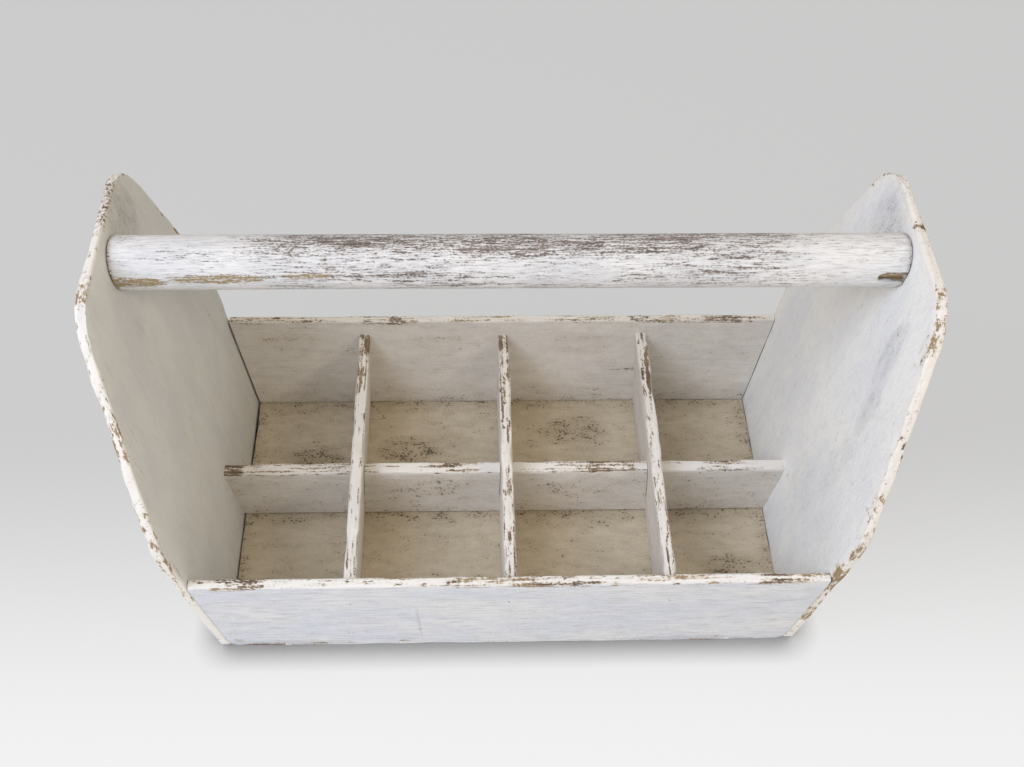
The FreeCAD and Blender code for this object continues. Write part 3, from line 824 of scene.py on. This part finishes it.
# %% Rays that see the background
def seen_share(tree, most):
    """The share of a background's own tone that a ray sees: most of it for a ray from the camera,
    from a gloss or through glass, and none for the rays that light the object."""
    rays = node(tree, "LightPath", {})
    share = rays.outputs["Is Camera Ray"]
    for kind in ("Is Glossy Ray", "Is Transmission Ray"):
        share = node(tree, "Math", {0: share, 1: rays.outputs[kind]}, operation="MAXIMUM").outputs[0]
    return node(tree, "Math", {0: share, 1: most}, operation="MULTIPLY").outputs[0]


# %% Floor
BACKDROP_GREY = "#CECECE"
FLOOR_HALF = 6.0
FLOOR_DROP = 0.4 * MM
SHADOW_REACH = 26 * MM
floor_corners = [(-1, -1), (1, -1), (1, 1), (-1, 1)]
floor_mesh = bpy.data.meshes.new("studio_floor")
floor_mesh.from_pydata([(FLOOR_HALF * x, FLOOR_HALF * y, -FLOOR_DROP) for x, y in floor_corners], [],
                       [(0, 1, 2, 3)])
floor = bpy.data.objects.new("studio_floor", floor_mesh)
bpy.context.scene.collection.objects.link(floor)
print("floor is", 2 * FLOOR_HALF, "metres wide")

# %% Floor's tone
# Matt studio floor: no gloss, grey at the back and near white at the front
floor_paint = bpy.data.materials.new("matt_studio_floor")
floor_tree = empty_tree(floor_paint)
floor_place = node(floor_tree, "SeparateXYZ", {0: node(floor_tree, "TexCoord", {}).outputs["Object"]})
front_share = node(floor_tree, "MapRange", {"Value": floor_place.outputs["Y"], "From Min": 0.12,
                                            "From Max": -0.26}, interpolation_type="SMOOTHSTEP")
floor_colour = node(floor_tree, "Mix", {0: front_share.outputs["Result"], 6: linear(BACKDROP_GREY),
                                        7: linear("#F2F2F2")}, data_type="RGBA").outputs[2]
floor_skin = node(floor_tree, "BsdfDiffuse", {"Color": floor_colour})
# Painted contact shadow: within the reach, occlusion darkens the floor's own tone towards grey, and the
# camera sees it in the floor's glow
contact = node(floor_tree, "AmbientOcclusion", {"Distance": SHADOW_REACH}, samples=8)
open_air = node(floor_tree, "MapRange", {"Value": contact.outputs["AO"], "From Min": 0.45, "From Max": 1.0})
floor_tone_with_painted_shadow = node(floor_tree, "Mix", {0: open_air.outputs["Result"], 6: linear("#8A8A8A"), 7: floor_colour},
                  data_type="RGBA")
floor_glow = node(floor_tree, "Emission", {"Color": floor_tone_with_painted_shadow.outputs[2], "Strength": 1.0})
floor_mix = node(floor_tree, "MixShader", {0: seen_share(floor_tree, 0.88), 1: floor_skin.outputs[0],
                                           2: floor_glow.outputs[0]})
node(floor_tree, "OutputMaterial", {"Surface": floor_mix.outputs[0]})
floor_mesh.materials.append(floor_paint)
print("floor material has", len(floor_tree.nodes), "nodes")

# %% [markdown]
# ## Light
#
# One large, cool, soft lamp stands high on the left in front, like a window, so that the right
# end's inner face is bright and the left one lies in soft shade, deepened by painted shade in its
# coat. A weaker, warm lamp on the right lays the dividers' second shadow on the back board, where
# painted shadows deepen it. The rest is an even, warm sky.

# %% Sky
scene = bpy.context.scene
world = bpy.data.worlds.new("studio_sky")
sky_tree = empty_tree(world)
sky_light = node(sky_tree, "Background", {"Color": linear("#FFF4E6"), "Strength": 0.54})
# Past the edge of the floor the camera sees the floor's own grey
sky_tone = node(sky_tree, "Background", {"Color": linear(BACKDROP_GREY), "Strength": 1.0})
sky = node(sky_tree, "MixShader", {0: seen_share(sky_tree, 1.0), 1: sky_light.outputs[0],
                                   2: sky_tone.outputs[0]})
node(sky_tree, "OutputWorld", {"Surface": sky.outputs[0]})
scene.world = world
print("sky has", len(sky_tree.nodes), "nodes")

# %% Lamps
LAMP_AIM = Vector((0.0, 0.0, 0.1))


def soft_lamp(name, place, size, watts, colour):
    """A flat lamp of a width and a height in metres, turned so that it faces the caddy's middle."""
    lamp = bpy.data.lights.new(name, "AREA")
    lamp.shape = "RECTANGLE"
    lamp.size, lamp.size_y = size
    lamp.energy = watts
    lamp.color = linear(colour)[:3]
    stand = bpy.data.objects.new(name, lamp)
    stand.location = place
    stand.rotation_euler = (LAMP_AIM - stand.location).to_track_quat("-Z", "Y").to_euler()
    scene.collection.objects.link(stand)
    print(name, "of", watts, "watts")


soft_lamp("window_light", (-1.2, -0.95, 1.75), (1.6, 1.2), 34.5, "#DFE9FF")
soft_lamp("side_lamp", (1.0, -0.75, 1.3), (0.3, 0.3), 4.5, "#FFF3E2")

# %% [markdown]
# ## Camera
#
# The camera's place, turn and focal length were fitted to the caddy's corners as a pinhole
# camera, in millimetres and in pixels of a picture that is 1024 wide. A Track To constraint
# couldn't hold the slight roll, so the camera's three directions are worked out as a matrix.

# %% Camera
YAW, PITCH, ROLL = 0.054, 0.8701, -0.0342
FOCAL_PIXELS = 1300.5
PICTURE_WIDTH = 1024
SENSOR = 36.0
CAMERA_PLACE = Vector((-34.84, -690.63, 1009.16))
view = bpy.data.cameras.new("camera")
view.sensor_width = SENSOR
view.sensor_fit = "HORIZONTAL"
view.lens = SENSOR * FOCAL_PIXELS / PICTURE_WIDTH
view.clip_start = 0.01
camera = bpy.data.objects.new("camera", view)
ahead = Vector((math.sin(YAW) * math.cos(PITCH), math.cos(YAW) * math.cos(PITCH), -math.sin(PITCH)))
level = Vector((math.cos(YAW), -math.sin(YAW), 0))
plumb = ahead.cross(level)
right = level * math.cos(ROLL) + plumb * math.sin(ROLL)
down = plumb * math.cos(ROLL) - level * math.sin(ROLL)
facing = Matrix((right, -down, -ahead)).transposed().to_4x4()
camera.matrix_world = Matrix.Translation(CAMERA_PLACE * MM) @ facing
scene.collection.objects.link(camera)
scene.camera = camera
scene.view_settings.view_transform = "Standard"
print("camera lens", round(view.lens, 2), "mm")
